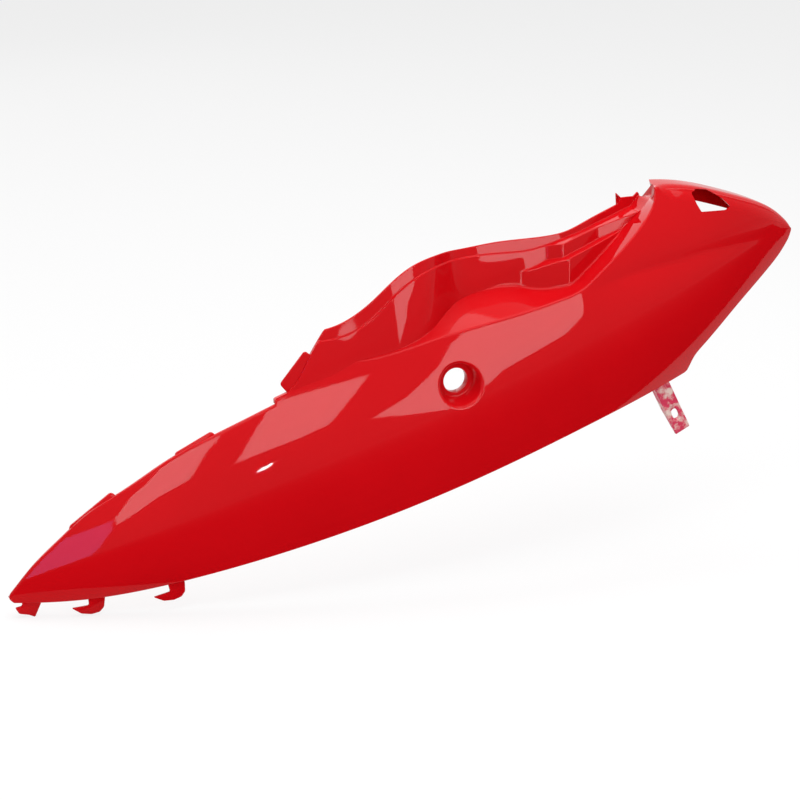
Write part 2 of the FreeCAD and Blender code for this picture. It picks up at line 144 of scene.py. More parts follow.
# Cards: name, place, colour, strength, and outline as metres to the right and up
MATT_SHARE = 0.2                   # share of a card's strength that matt surfaces get
CARDS = [
    ("back_card", (-0.75, 2.2, 1.3), (1, 0.97, 0.98), 3.2,
     [(-1.6, 1.2), (1.6, 1.2), (1.6, -1.2), (-1.6, -1.2)]),
    ("window_card", (0.561, -2.502, 0.573), (1, 1, 1), 15.0,
     [(-0.335, 0.962), (-0.2, 1.15), (0.855, 0.7), (0.855, 0.267), (0.786, -0.154), (0.328, -0.288),
      (0.299, -0.507), (0.049, -0.762), (-0.387, -0.323), (-0.731, 0.042), (-0.521, 0.205), (-0.369, 0.603)]),
    ("front_card", (-0.809, -2.210, 1.195), (1, 1, 1), 15.0,
     [(-0.431, 0.458), (0.349, 0.330), (0.335, 0.005), (0.325, -0.330), (0.132, -0.357), (-0.311, -0.263),
      (-0.406, 0.182)]),
    ("tab_card", (-1.714, -1.771, 1.155), (1, 1, 1), 15.0,
     [(-0.2, 0.45), (0.211, 0.42), (0.193, 0.267), (0.325, -0.088), (0.104, -0.189), (-0.072, -0.524),
      (-0.247, -0.287), (-0.341, 0.051)]),
    ("glint_card", (-0.813, -2.472, 0.512), (1, 1, 1), 240.0,
     [(-0.03, 0.04), (0.03, 0.04), (0.03, -0.04), (-0.03, -0.04)]),
    ("tip_card", (-2.053, -1.940, 0.020), (0.30, 0.42, 1.0), 10.0,
     [(-0.598, 0.968), (-0.098, 0.909), (0.069, 0.591), (0.250, 0.010), (0.336, -0.639), (0.268, -1.129),
      (0.150, -1.250), (-0.413, 0.432)]),
]


def spline(points):
    """Natural cubic spline through (place, value) rows, as a function of arrays.

    The second derivatives solve the usual three-term equations and are zero at both ends.
    Between two knots a step h apart, at shares a and b = 1 - a, the value is
    a y0 + b y1 + ((a^3 - a) m0 + (b^3 - b) m1) h^2 / 6.
    """
    x, y = np.asarray(points, float).T[:2]
    h = np.diff(x)
    inner = np.arange(1, len(x) - 1)
    terms = np.eye(len(x))
    terms[inner, inner - 1], terms[inner, inner + 1] = h[:-1], h[1:]
    terms[inner, inner] = 2 * (h[:-1] + h[1:])
    bends = np.zeros(len(x))
    bends[inner] = 6.0 * np.diff(np.diff(y) / h)
    m = np.linalg.solve(terms, bends)

    def value(q):
        k = np.clip(np.searchsorted(x, q) - 1, 0, len(x) - 2)
        a = (x[k + 1] - q) / h[k]
        b = 1.0 - a
        return a * y[k] + b * y[k + 1] + ((a**3 - a) * m[k] + (b**3 - b) * m[k + 1]) * h[k] ** 2 / 6.0

    return value


def length_along(line):
    """Length along a line of points, from its first one."""
    return np.concatenate([[0.0], np.cumsum(np.hypot(*np.diff(line, axis=0).T))])


def side_curve(points, count):
    """Side-view curve through points, as count points: splines of X and Z over the length of the chords."""
    p = np.asarray(points, float)
    chord = length_along(p)
    place = np.linspace(0.0, chord[-1], count)
    return np.stack([spline(np.c_[chord, p[:, i]])(place) for i in (0, 1)], -1)


skin_depth = spline(SKIN[:, [0, 1]])
skin_crest = spline(SKIN[:, [0, 2]])
skin_round = spline(SKIN[:, [0, 3]])
shelf_rise = spline(SHELF_RISE)
band_drift = spline(BAND_DRIFT)
wall_depth = spline(WALL_DEPTH)
rim_depth = spline(RIM_DEPTH)


def skin_y(x, z):
    """Depth of the outer skin: a hyperbola across the climbing axis, whose crest follows the plan curve."""
    s, t = x * math.cos(CLIMB) + z * math.sin(CLIMB), z * math.cos(CLIMB) - x * math.sin(CLIMB)
    across = (t - skin_crest(s)) / SKIN_HALF
    arch = 2.0 * skin_round(s) * SKIN_HALF**2 * (np.sqrt(1.0 + across**2) - 1.0)
    return skin_depth(s) + arch + tail_fold(x, z)


def tail_fold(x, z):
    """Extra depth of the shallow valley along the tail, which fades away over 16 mm to either side."""
    away = np.sqrt((z - np.interp(x, *np.transpose(FOLD_LINE))) ** 2 + 1.5**2)
    return np.interp(x, *np.transpose(FOLD_DEPTH)) * np.exp(-away / 16.0)


def inner_y(x, z, wall):
    """Depth of the skin's inner face: the outer one plus the wall times the root of 1 + dx^2 + dz^2."""
    h = 0.5
    dx = skin_y(x + h, z) - skin_y(x - h, z)
    dz = skin_y(x, z + h) - skin_y(x, z - h)
    return skin_y(x, z) + wall * np.sqrt(1.0 + dx**2 + dz**2)


def lean(z):
    """How far in the scoop's upright faces lean at a height: LEAN times the height above LEAN_FROM."""
    return LEAN * (z - LEAN_FROM)


def scoop_plan(x):
    """Depths at the height LEAN_FROM of the lower wall, of the upper wall and of the rim, over X.

    Each wall is the inner wall or, where that comes further out, the ramp or the terrace behind it.
    """
    wall = wall_depth(x)
    terrace = TERRACE_DEPTH + TERRACE_SLOPE * (x - TERRACE_X)
    low = np.minimum(wall, np.maximum(WALL_END - LOWER_RAMP[1] * (x - LOWER_RAMP[0]), terrace))
    high = np.minimum(wall, np.maximum(WALL_END - UPPER_RAMP[1] * (x - UPPER_RAMP[0]), terrace + LEDGE))
    rim = np.where(x < RIM_FROM_X, wall + RIM_STEP, rim_depth(x))
    return low, high, rim


def solid(side, y):
    """Points in the frame from side-view points and depths."""
    return np.stack([side[..., 0], np.broadcast_to(y, side.shape[:-1]), side[..., 1]], -1)


def unit(v):
    """Vectors of length 1 along the last axis."""
    return v / np.maximum(np.linalg.norm(v, axis=-1, keepdims=True), 1e-9)


def arcs(start, corner, end, into, out, count):
    """Rows of points round corners, from the unit directions into and out of them.

    Each row is the weighted quadratic of its start, its corner and its end, with the cosine of half the turn
    as the corner's weight, which is a true circle where both lengths are alike.
    """
    weight = np.sqrt(np.maximum((1.0 + (into * out).sum(-1)) / 2.0, 0.02))[:, None, None]
    f = np.linspace(0.0, 1.0, count)[None, :, None]
    b0, b1, b2 = (1 - f) ** 2, 2 * f * (1 - f) * weight, f**2
    return (b0 * start[:, None] + b1 * corner[:, None] + b2 * end[:, None]) / (b0 + b1 + b2)


def rounded_path(corners, radii, steps):
    """Rows of points along straight runs with rounded corners, for many stations at once.

    corners holds one (stations, 3) array per corner; its ends stay as they are. An arc leaves both of its
    runs at the radius, but takes at most 45 percent of a run, or the whole of the first and of the last one.
    """
    rows = [corners[0][:, None]]
    last = len(corners) - 2
    for i, (radius, count) in enumerate(zip(radii, steps), start=1):
        before, here, after = corners[i - 1], corners[i], corners[i + 1]
        into, out = unit(here - before), unit(after - here)
        span_in = np.linalg.norm(here - before, axis=-1) * (0.999 if i == 1 else 0.45)
        span_out = np.linalg.norm(after - here, axis=-1) * (0.999 if i == last else 0.45)
        radius = np.broadcast_to(radius, span_in.shape)
        start = here - into * np.minimum(radius if i > 1 else 1e9, span_in)[:, None]
        end = here + out * np.minimum(radius, span_out)[:, None]
        rows.append(arcs(start, here, end, into, out, count))
    rows.append(corners[-1][:, None])
    return np.concatenate(rows, axis=1)


def grid_faces(rows, columns, closed, first=0):
    """Quads between the rows of a grid; with closed, its last column joins the first."""
    r = np.arange(rows - 1)[:, None]
    c = np.arange(columns if closed else columns - 1)[None, :]
    n = (c + 1) % columns
    return first + np.stack([r * columns + c, (r + 1) * columns + c, (r + 1) * columns + n, r * columns + n],
                            -1).reshape(-1, 4)


def mesh_piece(name, points, faces, material):
    """Piece from points in millimetres and faces, moved to the frame's origin; equal points become one."""
    mesh = bpy.data.meshes.new(name)
    moved = (np.asarray(points, float) - LOCK_AT) * MM
    mesh.from_pydata(moved.tolist(), [], [list(map(int, f)) for f in faces])
    shape = bmesh.new()
    shape.from_mesh(mesh)
    bmesh.ops.remove_doubles(shape, verts=shape.verts, dist=2e-6)
    bmesh.ops.dissolve_degenerate(shape, edges=shape.edges, dist=1e-6)
    bmesh.ops.recalc_face_normals(shape, faces=shape.faces)
    shape.to_mesh(mesh)
    shape.free()
    mesh.polygons.foreach_set("use_smooth", np.ones(len(mesh.polygons), bool))
    mesh.materials.append(material)
    piece = bpy.data.objects.new(name, mesh)
    bpy.context.scene.collection.objects.link(piece)
    return piece


def part_of(line, start, end, count, ease=0.0):
    """Points along a dense line between two of its lengths; ease crowds them to its start (+) or end (-)."""
    length = length_along(line)
    f = np.linspace(0.0, 1.0, count)
    f = f ** (1.0 + ease) if ease >= 0 else 1.0 - (1.0 - f) ** (1.0 - ease)
    place = start + (end - start) * f
    return np.stack([np.interp(place, length, line[:, i]) for i in (0, 1)], -1)


def length_at(line, point):
    """Length along a dense line at its nearest place to a point."""
    return length_along(line)[np.argmin(np.hypot(*(line - np.asarray(point, float)).T))]


def skin_meets_wall(x):
    """Height at which the skin goes behind the scoop's inner wall, by halving the height's range."""
    low, high = np.full_like(x, -60.0), np.full_like(x, 90.0)
    for _ in range(40):
        z = (low + high) / 2.0
        in_front = skin_y(x, z) < wall_depth(x) + lean(z)
        low, high = np.where(in_front, z, low), np.where(in_front, high, z)
    return low


def stations():
    """Matching side-view points of the lower and the upper edge, from the nose to the tail's end.

    The upper edge is the front edge, then the line where skin and scoop meet or the crease, whichever is
    lower, then the tail's edge. Named places on both edges are matched, and between them equal shares.
    """
    nose = side_curve(TIP, 60)
    low = np.concatenate([nose[32:], side_curve(LOWER_EDGE, 900)[1:], side_curve(REAR_EDGE, 300),
                          side_curve(TAIL_EDGE[:3], 60)[1:30]])
    crease = side_curve(CREASE, 1500)
    x = np.linspace(-174.0, 60.0, 700)
    meet = np.minimum(skin_meets_wall(x), np.interp(x, crease[:, 0], crease[:, 1]))
    tail = side_curve(TAIL_EDGE, 700)[::-1]
    tail = tail[:np.argmax(tail[:, 0]) + 1]
    up = np.concatenate([nose[32::-1], side_curve(FRONT_EDGE, 700)[::-1][1:], np.c_[x, meet],
                         crease[crease[:, 0] > 60.3], tail[1:]])
    pairs = [(low[0], up[0], 0, 0), ((-132, -141.7), (-174, -7), 130, 0.9), ((-48, -118.6), (-82, 30), 50, 0),
             ((167, -56.5), (121, 76), 100, 0), ((262, -29.8), (222, 163), 90, 0),
             (low[-1], up[-1], 100, -0.9)]
    lower, upper, kind = [], [], []
    for i, ((l0, u0, _, _), (l1, u1, count, ease)) in enumerate(zip(pairs, pairs[1:])):
        skip = 0 if i == 0 else 1
        for line, a, b, out in ((low, l0, l1, lower), (up, u0, u1, upper)):
            out.append(part_of(line, length_at(line, a), length_at(line, b), count + 1, ease)[skip:])
        kind.append(np.full(count + 1 - skip, i))
    lower, upper, kind = np.concatenate(lower), np.concatenate(upper), np.concatenate(kind)
    keep = np.hypot(*(upper - lower).T) > 1.2
    return lower[keep], upper[keep], kind[keep]


def scoop_heights(x, foot):
    """Heights of the lower terrace, the upper one and the rim's top over X, none below the wall's foot."""
    front, rim, low = side_curve(WALL_FRONT, 80), side_curve(RIM, 300), side_curve(RIM_LOW, 300)
    top_line = np.concatenate([front[:-1], rim, RIM_END])
    top = np.interp(x, top_line[:, 0], top_line[:, 1])
    step = np.where(x < -131.0, top, np.interp(x, np.r_[low[:, 0], 231.0], np.r_[low[:, 1], 143.0]))
    ledge = np.interp(x, *np.r_[[(-174.0, -7.0)], side_curve(TERRACE_LOW, 200), [(231.0, 135.0)]].T)
    step = np.maximum(np.minimum(step, top), foot)
    return np.maximum(np.minimum(ledge, step), foot), step, np.maximum(top, foot)


def crossed(a, b):
    """Cross product of side-view vectors."""
    return a[:, 0] * b[:, 1] - a[:, 1] * b[:, 0]


def skin_grids(lower, upper, roll, front, wall, edge):
    """Outer skin's side view, outer skin and inner skin between the edges' rounds, as rows over the stations.

    A row starts and ends a round's radius from the edges, more where it meets them at a slant.
    """
    run, span = unit(upper - lower), np.hypot(*(upper - lower).T)
    slant_low, slant_up = (np.clip(np.abs(crossed(run, unit(np.gradient(line, axis=0)))), 0.35, 1)
                           for line in (lower, upper))
    f = np.linspace(0.0, 1.0, SKIN_ROWS)[None, :, None]
    start = np.minimum(edge / slant_low, 0.2 * span)[:, None]
    end = np.minimum(roll / slant_up, 0.42 * span)[:, None]
    foot, head = lower + run * start, upper - run * end
    side = foot[:, None] + f * (head - foot)[:, None]
    inset_low = np.minimum(1.2 * wall / slant_low, 0.25 * span)[:, None]
    inset_up = np.where(front[:, None], np.minimum(0.6, 0.1 * span)[:, None],
                        np.minimum(1.2 * wall / slant_up + 0.6 * (end[:, 0] - edge), 0.42 * span)[:, None])
    foot_in, head_in = lower + run * inset_low, upper - run * inset_up
    side_in = foot_in[:, None] + f[:, ::-1] * (head_in - foot_in)[:, None]
    return (side, solid(side, skin_y(side[..., 0], side[..., 1])),
            solid(side_in, inner_y(side_in[..., 0], side_in[..., 1], wall)))


def scoop_corners(upper, under, y_edge, wall):
    """Corners of a section through the scoop: shelf, both walls, rim, and the same again one wall further in.

    The shelf rises and the band drifts backwards with depth. At its upper end the band also falls away to the
    back, from the skin's edge down to the fin's foot.
    """
    x, z = upper.T
    low = scoop_plan(x)[0]
    rise, drift = shelf_rise(x), band_drift(x)
    for _ in range(3):
        y_foot = np.maximum((low + LEAN * (z - rise * y_edge - LEAN_FROM)) / (1.0 - LEAN * rise), y_edge)
        deeper = x + drift * (y_foot - y_edge)
        low, high, rim = scoop_plan(deeper)
    z_foot = z + rise * (y_foot - y_edge)
    ledge, step, top = scoop_heights(deeper, z_foot)

    def outside(depth, height):
        return np.stack([deeper, depth + lean(height), height], -1)

    def inside(depth, height):
        return np.stack([deeper, depth + lean(height) + wall, np.maximum(height - wall, z_foot - wall)], -1)

    corners = [outside(low, z_foot), outside(low, ledge), outside(high, ledge), outside(high, step),
               outside(rim, step), outside(rim, top), outside(rim, top) + [0.0, wall, 0.0],
               inside(rim, step), inside(high, step), inside(high, ledge), inside(low, ledge),
               solid(under + np.stack([deeper - x, 0.0 * x], -1), low + lean(z_foot) + wall)]
    fall = FALL * np.clip((x - FALL_FROM_X) / FALL_OVER, 0, 1) ** 2
    return [c - np.stack([0 * x, 0 * x, fall * np.maximum(c[:, 1] - y_edge, 0)], -1) for c in corners]


def tail_corners(sizes, upper, under, into, y_edge, wall):
    """As many corners of a section through the tail: its roll, its flat inner face and the return below."""
    x = upper[:, 0]
    face = np.minimum(sizes.tail_face / MM, y_edge + np.maximum(x - TAIL_FROM_X, 0.3) / TAIL_OPENS)
    height = np.clip((x - RETURN_FROM_X) / RETURN_EASE, 0, 1) * sizes.tail_return / MM
    low = upper + into * np.maximum(height, 0.5)[:, None]
    return ([solid(upper, face)] * 5 + [solid(low, face), solid(low, face - wall)]
            + [solid(under, face - wall)] * 5)


def shell_sections(sizes):
    """Outer skin's side view, outer and inner skin, what joins them on top, and the whole closed sections.

    Each section runs up the outer skin, over the crease or the tail's roll, along the shelf, up the scoop's
    wall in its steps, over the rim and back down one wall further in, to the return flange below.
    """
    wall, edge = sizes.wall / MM, sizes.edge_radius / MM
    lower, upper, kind = stations()
    front, tail = kind == 0, kind == 4
    past = np.clip((length_along(upper) - length_along(upper)[np.argmax(tail)]) / ROLL_OVER, 0, 1) * tail
    roll = np.where(front, edge, edge + (sizes.tail_roll / MM - edge) * np.sqrt(past))
    side, outer, inner = skin_grids(lower, upper, roll, front, wall, edge)

    # over the top and back: the front edge has plain skin there, the middle the scoop, and the tail its roll
    along_low, along_up = unit(np.gradient(lower, axis=0)), unit(np.gradient(upper, axis=0))
    into = np.stack([along_up[:, 1], -along_up[:, 0]], -1)
    under = upper + into * wall
    y_edge, deep = skin_y(*upper.T), inner_y(*upper.T, wall)
    corners = [np.where(front[:, None], solid(upper, deep), np.where(tail[:, None], c, b))
               for b, c in zip(scoop_corners(upper, under, y_edge, wall),
                               tail_corners(sizes, upper, under, into, y_edge, wall))]
    under_edge = np.where(front[:, None], solid(upper, deep), solid(under, inner_y(*under.T, wall)))
    # the crease's corner lies on the skin's own tangent, so that the round runs on smoothly
    reach = np.linalg.norm(solid(upper, y_edge) - outer[:, -1], axis=-1, keepdims=True)
    rolled = outer[:, -1] + unit(outer[:, -1] - outer[:, -2]) * reach
    over = rounded_path([outer[:, -1], rolled] + corners + [under_edge, inner[:, 0]],
                        [roll, sizes.shelf_fillet / MM, 1.2, 1.2, 1.0, 1.0, 0.8, 0.8, 0.6, 0.6, 0.6, 0.6,
                         1.2, 1.0],
                        [10, 7, 4, 4, 4, 4, 4, 4, 2, 2, 2, 2, 3, 3])

    # return flange along the lower and the rear edge
    span = np.hypot(*(upper - lower).T)
    inward = np.stack([-along_low[:, 1], along_low[:, 0]], -1) * np.minimum(wall, 0.2 * span)[:, None]
    flange = inner_y(*lower.T, sizes.flange / MM)
    below = rounded_path([inner[:, -1], solid(lower + inward, inner_y(*(lower + inward).T, wall)),
                          solid(lower + inward, flange), solid(lower, flange), solid(lower, skin_y(*lower.T)),
                          outer[:, 0]], [1.0, 0.5, 0.5, edge], [3, 3, 3, 7])
    return side, outer, inner, over, np.concatenate([outer, over[:, 1:-1], inner, below[:, 1:-1]], axis=1)


def fairing_shell(sizes, material):
    """The moulding: its closed sections, with a ringed patch round the lock recess, and the tail's window."""
    side, outer, inner, over, loops = shell_sections(sizes)
    count, columns = loops.shape[:2]

    # leave out the block of skin round the lock, outside and inside
    rows_in, cols_in = np.nonzero(np.abs(side - LOCK_AT[[0, 2]]).max(-1) < LOCK_BLOCK)
    i0, i1, j0, j1 = rows_in.min(), rows_in.max(), cols_in.min(), cols_in.max()
    last = 2 * SKIN_ROWS + over.shape[1] - 3
    faces = grid_faces(count, columns, True)
    r, c = faces[:, 0] // columns, faces[:, 0] % columns
    hole = (r >= i0) & (r < i1) & (((c >= j0) & (c < j1)) | ((c >= last - j1) & (c < last - j0)))

    around_i = np.r_[np.arange(i0, i1), np.full(j1 - j0, i1), np.arange(i1, i0, -1), np.full(j1 - j0, i0)]
    around_j = np.r_[np.full(i1 - i0, j0), np.arange(j0, j1), np.full(i1 - i0, j1), np.arange(j1, j0, -1)]
    patch = lock_patch(sizes, outer[around_i, around_j], inner[around_i, SKIN_ROWS - 1 - around_j])
    points = np.concatenate([loops.reshape(-1, 3), patch.reshape(-1, 3)])
    rings = grid_faces(patch.shape[0], patch.shape[1], True, loops.shape[0] * loops.shape[1])[:, ::-1]
    ends = [np.arange(columns), np.arange(columns)[::-1] + (count - 1) * columns]
    faces = [*faces[~hole], *rings, *ends]
    return windowed(mesh_piece("fairing_shell", within_solid(points), faces, material), material)


def within_solid(points):
    """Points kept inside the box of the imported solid."""
    low, high = (np.asarray(corner, float) / MM + LOCK_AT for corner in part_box("side_panel"))
    return np.clip(points, low + 0.01, high - 0.01)


def windowed(shell, material):
    """Cuts the tail's window: a prism through the skin and the roll, down to the depth of the return."""
    outline = rounded_outline(WINDOW, WINDOW_ROUND, 6)
    n = len(outline)
    prism = np.concatenate([solid(outline, y) for y in WINDOW_DEPTHS])
    sides = grid_faces(2, n, True)
    cutter = mesh_piece("window_cutter", prism, [*sides, np.arange(n)[::-1], np.arange(n) + n], material)
    cut = shell.modifiers.new("window", "BOOLEAN")
    cut.operation, cut.solver, cut.object = "DIFFERENCE", "FAST", cutter
    whole = bpy.data.meshes.new_from_object(shell.evaluated_get(bpy.context.evaluated_depsgraph_get()))
    shell.modifiers.clear()
    old, shell.data = shell.data, whole
    whole.name = "fairing_shell"
    bpy.data.meshes.remove(old)
    bpy.data.meshes.remove(cutter.data)
    whole.set_sharp_from_angle(angle=math.radians(50.0))
    return shell


def lock_patch(sizes, outside, inside):
    """Rings from the outer block edge down the lock recess, through its bore and back to the inner edge.

    A ring lies between block edge and circle by its share; the recess is a cone round the bore's axis, whose
    mouth is found where the cone's radius at the skin's depth is the point's own radius.
    """
    angle = np.arctan2(outside[:, 2] - LOCK_AT[2], outside[:, 0] - LOCK_AT[0])
    turn = np.stack([np.cos(angle), np.sin(angle)], -1)
    wall, bore, collar = sizes.wall / MM, sizes.lock_bore / MM / 2.0, sizes.lock_collar / MM
    floor_r, round_r, bed = sizes.lock_floor / MM / 2.0, sizes.lock_round / MM, LOCK_AT[1]

    def on_inner(px, pz):
        return inner_y(px, pz, wall)

    def mouth(depth, radius):
        r = np.full(len(angle), radius + 8.0)
        for _ in range(12):
            r = radius - LOCK_TAPER * (depth(LOCK_AT[0] + r * turn[:, 0], LOCK_AT[2] + r * turn[:, 1]) - bed)
        return r

    def ring(radius, y):
        side = LOCK_AT[[0, 2]] + turn * np.broadcast_to(radius, angle.shape)[:, None]
        return solid(side, y(side[:, 0], side[:, 1]) if callable(y) else y)

    def between(edge, radius, depth):
        side = (1 - f) * edge[None][..., [0, 2]] + f * (LOCK_AT[[0, 2]] + turn * radius[:, None])[None]
        y = np.where(f[..., 0] == 0.0, edge[None, :, 1], depth(side[..., 0], side[..., 1]))
        return solid(side, y)

    out_r, in_r = mouth(skin_y, floor_r), mouth(on_inner, floor_r + wall)
    path = rounded_path(
        [ring(out_r + round_r, skin_y), ring(out_r, skin_y), ring(floor_r, bed), ring(bore, bed),
         ring(bore, bed + collar), ring(bore + wall, bed + collar), ring(bore + wall, bed + wall),
         ring(floor_r + wall - LOCK_TAPER * wall, bed + wall), ring(in_r, on_inner),
         ring(in_r + 2.0, on_inner)],
        [round_r, 1.6, 0.5, 0.5, 0.5, 0.5, 1.5, 1.5], [8, 6, 4, 3, 3, 3, 4, 4])
    f = np.linspace(0.0, 1.0, 14)[:-1, None, None]
    return np.concatenate([between(outside, out_r + round_r, skin_y), path.transpose(1, 0, 2),
                           between(inside, in_r + 2.0, on_inner)[::-1]])


def rounded_outline(points, radius, count=5):
    """Closed side-view outline whose corners are arcs."""
    p = np.asarray(points, float)
    before, after = p - np.roll(p, 1, 0), np.roll(p, -1, 0) - p
    into, out = unit(before), unit(after)
    reach_in, reach_out = (np.minimum(radius, 0.48 * np.linalg.norm(run, axis=-1))[:, None]
                           for run in (before, after))
    return arcs(p - into * reach_in, p, p + out * reach_out, into, out, count).reshape(-1, 2)


def turned(points, at, angle):
    """Side-view points turned by an angle and moved to a place."""
    p = np.asarray(points, float)
    c, k = math.cos(angle), math.sin(angle)
    return np.stack([at[0] + p[:, 0] * c - p[:, 1] * k, at[1] + p[:, 0] * k + p[:, 1] * c], -1)


def inset(outline, by):
    """Outline moved inwards: each point goes square to the line between its neighbours."""
    along = unit(np.roll(outline, -1, 0) - np.roll(outline, 1, 0))
    area = (outline[:, 0] * np.roll(outline[:, 1], -1) - np.roll(outline[:, 0], -1) * outline[:, 1]).sum()
    return outline + np.stack([-along[:, 1], along[:, 0]], -1) * by * np.sign(area)


def slab(outline, front, back, edge=EDGE, hole=None):
    """Rings of a plate between two depths, with rounded edges, as a grid that closes on itself.

    front and back are depths as functions of X and Z. Over the edge's round the outline comes in by
    edge (1 - sin a) while the depth goes on by edge (1 - cos a). The faces close in rings on their middle,
    or on the hole's outline, which has as many points.
    """
    middle = outline.mean(0) + 0.0 * outline
    rings = []
    arc = np.linspace(0.0, math.pi / 2.0, 4)
    tight = inset(outline, edge)
    target = middle if hole is None else hole
    for side, sign in ((front, 1.0), (back, -1.0)):
        some = [solid(p, side(p[:, 0], p[:, 1])) for p in (target + (tight - target) * w
                                                         for w in np.linspace(0.0, 1.0, 6)[:-1])]
        for a in arc:
            p = inset(outline, edge * (1.0 - math.sin(a)))
            some.append(solid(p, side(p[:, 0], p[:, 1]) + sign * edge * (1.0 - math.cos(a))))
        rings += some if sign > 0 else some[::-1]
    return np.array(rings)


def plates(name, grids, material, closed_through=()):
    """One piece from several closed grids; those with a hole also join their last ring to their first."""
    points, faces, first = [], [], 0
    for i, grid in enumerate(grids):
        if i in closed_through:
            grid = np.concatenate([grid, grid[:1]])
        faces += [*grid_faces(grid.shape[0], grid.shape[1], True, first)]
        points.append(grid.reshape(-1, 3))
        first += grid.shape[0] * grid.shape[1]
    return mesh_piece(name, np.concatenate(points), faces, material)


def level(y):
    """One depth everywhere, as a function of X and Z."""
    return lambda px, pz: y + 0.0 * px


def lower_hooks(sizes, material):
    """Three flat hooks under the lower edge; their stems stand in the return flange."""
    points, faces, first = [], [], 0
    places = [(FRONT_HOOK, FRONT_HOOK_AT, 0.0)] + [(HOOK, (x, z), math.radians(a)) for x, z, a in HOOKS_AT]
    for shape, at, tilt in places:
        rooted = [(shape[-1][0], 5.0), (0.0, 5.0)] + shape
        y = float(skin_y(np.array(at[0] + shape[-1][0] / 2.0), np.array(at[1] + 2.0))) + 3.0
        outline = rounded_outline(turned(rooted, at, tilt), 1.4)
        # without the rings to its middle, because a hook's outline isn't convex: two flat faces close it
        grid = slab(outline, level(y), level(y + sizes.hook_thickness / MM))[5:-5]
        n, m = grid.shape[:2]
        faces += [*grid_faces(n, m, True, first), first + np.arange(m),
                  first + (n - 1) * m + np.arange(m)[::-1]]
        points.append(grid.reshape(-1, 3))
        first += n * m
    return mesh_piece("lower_hooks", np.concatenate(points), faces, material)


def edge_tabs(sizes, material):
    """Two tabs behind the front edge, one behind the scoop's wall and the fin; each follows its surface."""
    wall, thick = sizes.wall / MM, sizes.tab_thickness / MM
    grids = [slab(rounded_outline(shape, 2.5, 7), lambda px, pz: inner_y(px, pz, wall - SUNK),
                  lambda px, pz: inner_y(px, pz, wall - SUNK + thick)) for shape in (FRONT_TAB, MIDDLE_TAB)]
    grids.append(slab(rounded_outline(WALL_TAB, 3.0, 7),
                      lambda px, pz: wall_depth(px) + lean(pz) + wall - SUNK,
                      lambda px, pz: wall_depth(px) + lean(pz) + wall - SUNK + thick))
    grids.append(slab(rounded_outline(FIN, 1.0, 5), lambda px, pz: rim_depth(px) + lean(pz) + 0.2,
                      lambda px, pz: rim_depth(px) + lean(pz) + 0.2 + thick, 0.4))
    return plates("edge_tabs", grids, material)


def slot_outline(angle, middle, width, length):
    """Slot with round ends: along each angle, the nearer of its straight side and its round end."""
    c, k = np.cos(angle), np.sin(angle)
    ends, half = (length - width) / 2.0, width / 2.0
    straight = half / np.maximum(np.abs(c), 1e-6)
    round_end = ends * np.abs(k) + np.sqrt(np.maximum(half**2 - (ends * c) ** 2, 0.0))
    r = np.where(straight * np.abs(k) <= ends, straight, round_end)
    return np.stack([r * c, middle + r * k], -1)


def bracket_strap(sizes, material):
    """Flat strap with a tapering side web and a slotted screw hole, down and to the rear from the flange."""
    half, length = sizes.strap_width / MM / 2.0, sizes.strap_length / MM
    slot_z = SLOT_FROM_END - length
    face = rounded_outline([(-half, 6.0), (half, 6.0), (half, -length), (-half, -length)], 1.2, 6)
    split = np.concatenate([np.linspace(a, b, 7)[:-1] for a, b in zip(face, np.roll(face, -1, 0))])
    slot = slot_outline(np.arctan2(split[:, 1] - slot_z, split[:, 0]), slot_z, SLOT_WIDTH, SLOT_LENGTH)

    def placed(points):
        return turned(points, STRAP_ROOT, STRAP_LEAN)

    flat = slab(placed(split), level(STRAP_Y), level(STRAP_Y + STRAP_THICK), 0.4, placed(slot))
    web = rounded_outline([(6.0, 0.6), (-length + 1.0, 0.6), (-length + 1.0, STRAP_THICK - 0.3),
                           (-length / 2.0, STRAP_WEB), (6.0, STRAP_WEB)], 0.8, 4)
    upright = slab(web, level(0.05 - half), level(STRAP_THICK - half), 0.4)
    side = placed(upright[..., [1, 0]].reshape(-1, 2))
    upright = solid(side, STRAP_Y + upright[..., 2].reshape(-1)).reshape(upright.shape)
    return plates("bracket_strap", [flat, upright], material, closed_through=(0,))


def linear(hex_colour):
    """Linear red, green, blue and 1 of an sRGB colour such as "C8141C"."""
    parts = [int(hex_colour[i:i + 2], 16) / 255.0 for i in (0, 2, 4)]
    return [c / 12.92 if c <= 0.04045 else ((c + 0.055) / 1.055) ** 2.4 for c in parts] + [1.0]


def node(tree, kind, joins=(), **settings):
    """New shader node; a setting goes to the input or property of its name, a join is input and source."""
    made = tree.nodes.new(kind)
    for name, value in settings.items():
        label = name.replace("_", " ").title()
        if label in made.inputs:
            made.inputs[label].default_value = value
        else:
            setattr(made, name, value)
    for place, source in joins:
        tree.links.new(source, made.inputs[place])
    return made


def new_look(name):
    """New material, its node tree and the shader it starts with."""
    look = bpy.data.materials.new(name)
    look.use_nodes = True
    return look, look.node_tree, look.node_tree.nodes["Principled BSDF"]


def two_colours(tree, share, first, second):
    """Mix from the first colour to the second by a share."""
    mix = node(tree, "ShaderNodeMix", data_type="RGBA")
    mix.inputs[6].default_value, mix.inputs[7].default_value = linear(first), linear(second)
    tree.links.new(share, mix.inputs["Factor"])
    return mix.outputs[2]


